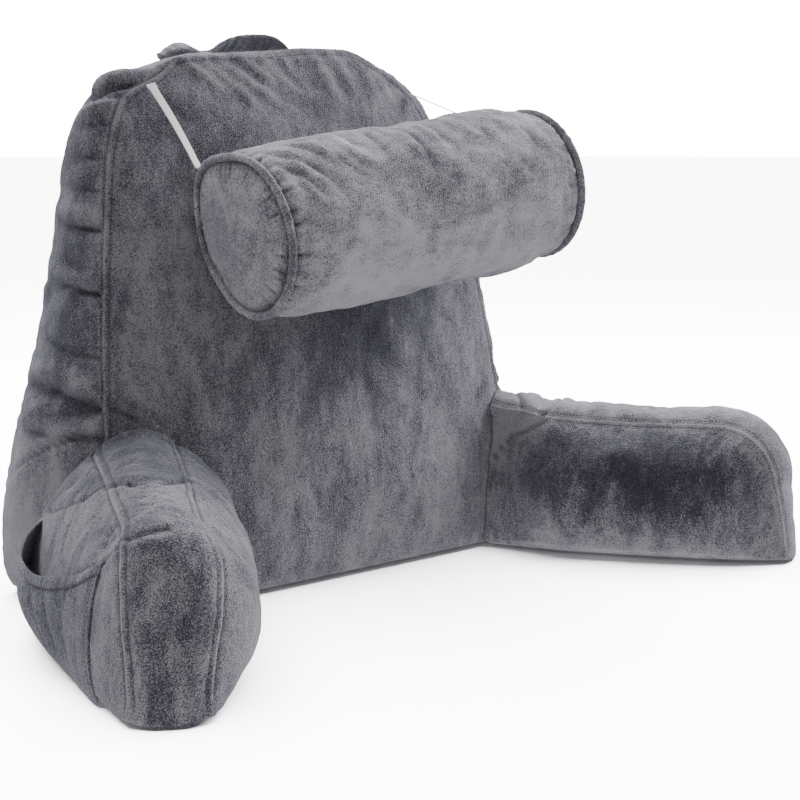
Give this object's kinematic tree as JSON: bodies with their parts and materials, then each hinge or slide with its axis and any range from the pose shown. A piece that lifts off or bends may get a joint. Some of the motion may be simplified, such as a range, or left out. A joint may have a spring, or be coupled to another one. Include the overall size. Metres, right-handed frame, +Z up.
{
  "type": "reading pillow with arms",
  "caption": "Plush back-rest cushion with two splayed arms, a gathered side pocket, a carry handle and a round neck roll hung on elastics.",
  "frame": {"origin": "centre of the back cushion's flat underside, on the surface that the pillow stands on", "axes": "+Z up, -Y towards the front where the sitter is, +X to the right of someone who faces the front, along the overall width"},
  "size_m": [0.8828, 0.4882, 0.5605],
  "materials": {
    "plush": "crushed short-pile plush, blue-grey, mottled where the pile lies either way",
    "elastic": "white woven elastic, matt"
  },
  "bodies": {
    "root": {"back_cushion": "plush", "arm_left": "plush", "arm_right": "plush", "pocket": "plush", "neck_roll": "plush", "piping_left": "plush", "piping_right": "plush", "handle": "plush", "strap_left": "elastic", "strap_right": "elastic"}
  },
  "joints": []
}
